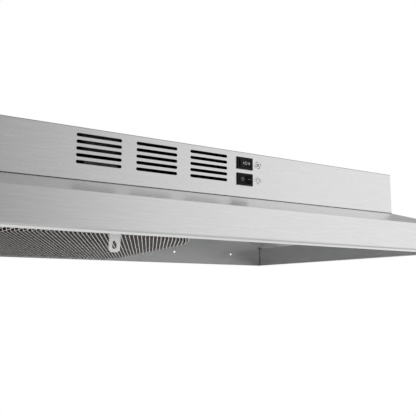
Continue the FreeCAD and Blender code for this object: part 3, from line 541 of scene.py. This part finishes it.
# ---------------------------------------------------------------- seams
def boxes_piece(name, boxes, mat, body):
    """Thin strips from pairs of corners, with a small bevel along their edges."""
    vertices = []
    faces = []
    for low, high in boxes:
        start = len(vertices)
        for z in (low[2], high[2]):
            vertices += [(low[0], low[1], z), (high[0], low[1], z),
                         (high[0], high[1], z), (low[0], high[1], z)]
        faces += [(start + 3, start + 2, start + 1, start), (start + 4, start + 5, start + 6, start + 7)]
        for k in range(4):
            n = (k + 1) % 4
            faces.append((start + k, start + n, start + 4 + n, start + 4 + k))
    piece = add_piece(name, vertices, faces, mat, body)
    bevel = piece.modifiers.new("edges", "BEVEL")
    bevel.width = 0.05 * MM
    bevel.segments = 2
    return piece


def build_seams():
    """Black strip in the gap under the front panel, standing in for the shadow there (painted shade), and black
    strips in the two open rear corner joints, standing in for the shade inside them (painted shade).
    """
    low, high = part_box("front_panel")
    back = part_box("back_panel")
    # painted shade: a black strip fills the gap under the front panel, where there is only its shadow
    strip_low = (low[0] + MM, low[1] + 0.08 * MM, low[2] - 0.75 * MM)
    strip_high = (high[0] - MM, high[1] - 0.05 * MM, low[2])
    boxes_piece("panel_gap_painted_shade", [(strip_low, strip_high)], MATERIALS["black_plastic"], "hood")
    inner = back[1][0] - 0.85 * MM
    wall = back[1][1] - 0.85 * MM
    crease = back[0][2] + 35.0 * MM
    # painted shade: black strips fill the open rear corner joints, standing in for the shade inside them
    joints = []
    for side in (-1, 1):
        for reach, depth, base in ((0.5, 0.5, back[0][2] + 1.2 * MM), (5.5, 0.5, crease - 0.9 * MM),
                                   (0.5, 5.5, crease - 0.9 * MM)):
            ends = sorted((side * inner, side * (inner - reach * MM)))
            joints.append(((ends[0], wall - depth * MM, base), (ends[1], wall, crease - 0.1 * MM)))
    boxes_piece("corner_joint_painted_shade", joints, MATERIALS["black_plastic"], "hood")


# ---------------------------------------------------------------- stage
def build_stage():
    z = CAD_BOX[0][2] - 0.78
    mesh = bpy.data.meshes.new("floor")
    half = 2.1
    corners = [(-half, -half, z), (half, -half, z), (half, half, z), (-half, half, z)]
    mesh.from_pydata(corners, [], [(0, 1, 2, 3)])
    floor = bpy.data.objects.new("floor", mesh)
    bpy.context.scene.collection.objects.link(floor)
    floor.data.materials.append(mottled("floor_paint", (0.86, 0.86, 0.86), 0.7, 0.0, 60.0, 0.01, 0.02,
                                       Emission_Color=(1.0, 1.0, 1.0, 1.0), Emission_Strength=0.22))


def build_world():
    """A white backdrop, and a studio that brightens to the right and dims overhead at the back."""
    world = bpy.data.worlds.new("studio")
    bpy.context.scene.world = world
    world.use_nodes = True
    nodes = world.node_tree.nodes
    links = world.node_tree.links
    nodes.clear()
    coords = nodes.new("ShaderNodeTexCoord")
    split = nodes.new("ShaderNodeSeparateXYZ")
    links.new(coords.outputs["Generated"], split.inputs[0])

    def span(source, start, end, low, high):
        node = nodes.new("ShaderNodeMapRange")
        for index, value in enumerate((start, end, low, high), 1):
            node.inputs[index].default_value = value
        links.new(source, node.inputs[0])
        return node.outputs[0]

    def blend(factor, first, second):
        node = nodes.new("ShaderNodeMix")
        links.new(factor, node.inputs[0])
        for source, socket in ((first, node.inputs[2]), (second, node.inputs[3])):
            if isinstance(source, float):
                socket.default_value = source
            else:
                links.new(source, socket)
        return node.outputs[0]

    ramp = nodes.new("ShaderNodeValToRGB")
    shades = ((0.0, 0.20), (0.40, 0.20), (0.50, 0.26), (0.60, 0.39), (0.66, 0.56), (0.73, 0.75), (0.80, 0.87),
              (0.88, 0.93), (1.0, 0.98))
    while len(ramp.color_ramp.elements) < len(shades):
        ramp.color_ramp.elements.new(0.5)
    for element, (place, shade) in zip(ramp.color_ramp.elements, shades):
        element.position = place
        element.color = (shade, shade, shade, 1.0)
    links.new(span(split.outputs[0], -1.0, 1.0, 0.0, 1.0), ramp.inputs[0])
    behind = blend(span(split.outputs[0], -0.75, 0.1, 0.0, 1.0), 0.33,
                   span(split.outputs[2], -0.02, 0.30, 1.0, 0.38))
    studio = blend(span(split.outputs[1], -0.05, 0.35, 0.0, 1.0), ramp.outputs[0], behind)
    path = nodes.new("ShaderNodeLightPath")
    seen = blend(path.outputs["Is Camera Ray"], studio, 1.0)
    background = nodes.new("ShaderNodeBackground")
    links.new(seen, background.inputs[0])
    out = nodes.new("ShaderNodeOutputWorld")
    links.new(background.outputs[0], out.inputs[0])


def build_camera():
    """Below the hood's lower edge at its left, looking up and to the right."""
    data = bpy.data.cameras.new("camera")
    data.sensor_width = 36.0
    data.lens = 607.0 / 416.0 * 36.0
    data.clip_start = 0.01
    data.clip_end = 50.0
    camera = bpy.data.objects.new("camera", data)
    bpy.context.scene.collection.objects.link(camera)
    camera.location = (-0.3466, -0.7395, -0.1702)
    camera.rotation_euler = (math.radians(90.0 + 8.27), math.radians(-0.12), math.radians(-32.17))
    bpy.context.scene.camera = camera


dress_cad_nodes()
build_filter_skins()
build_marks()
build_icons()
build_seams()
build_stage()
build_world()
build_camera()
bpy.context.scene.view_settings.view_transform = "Standard"
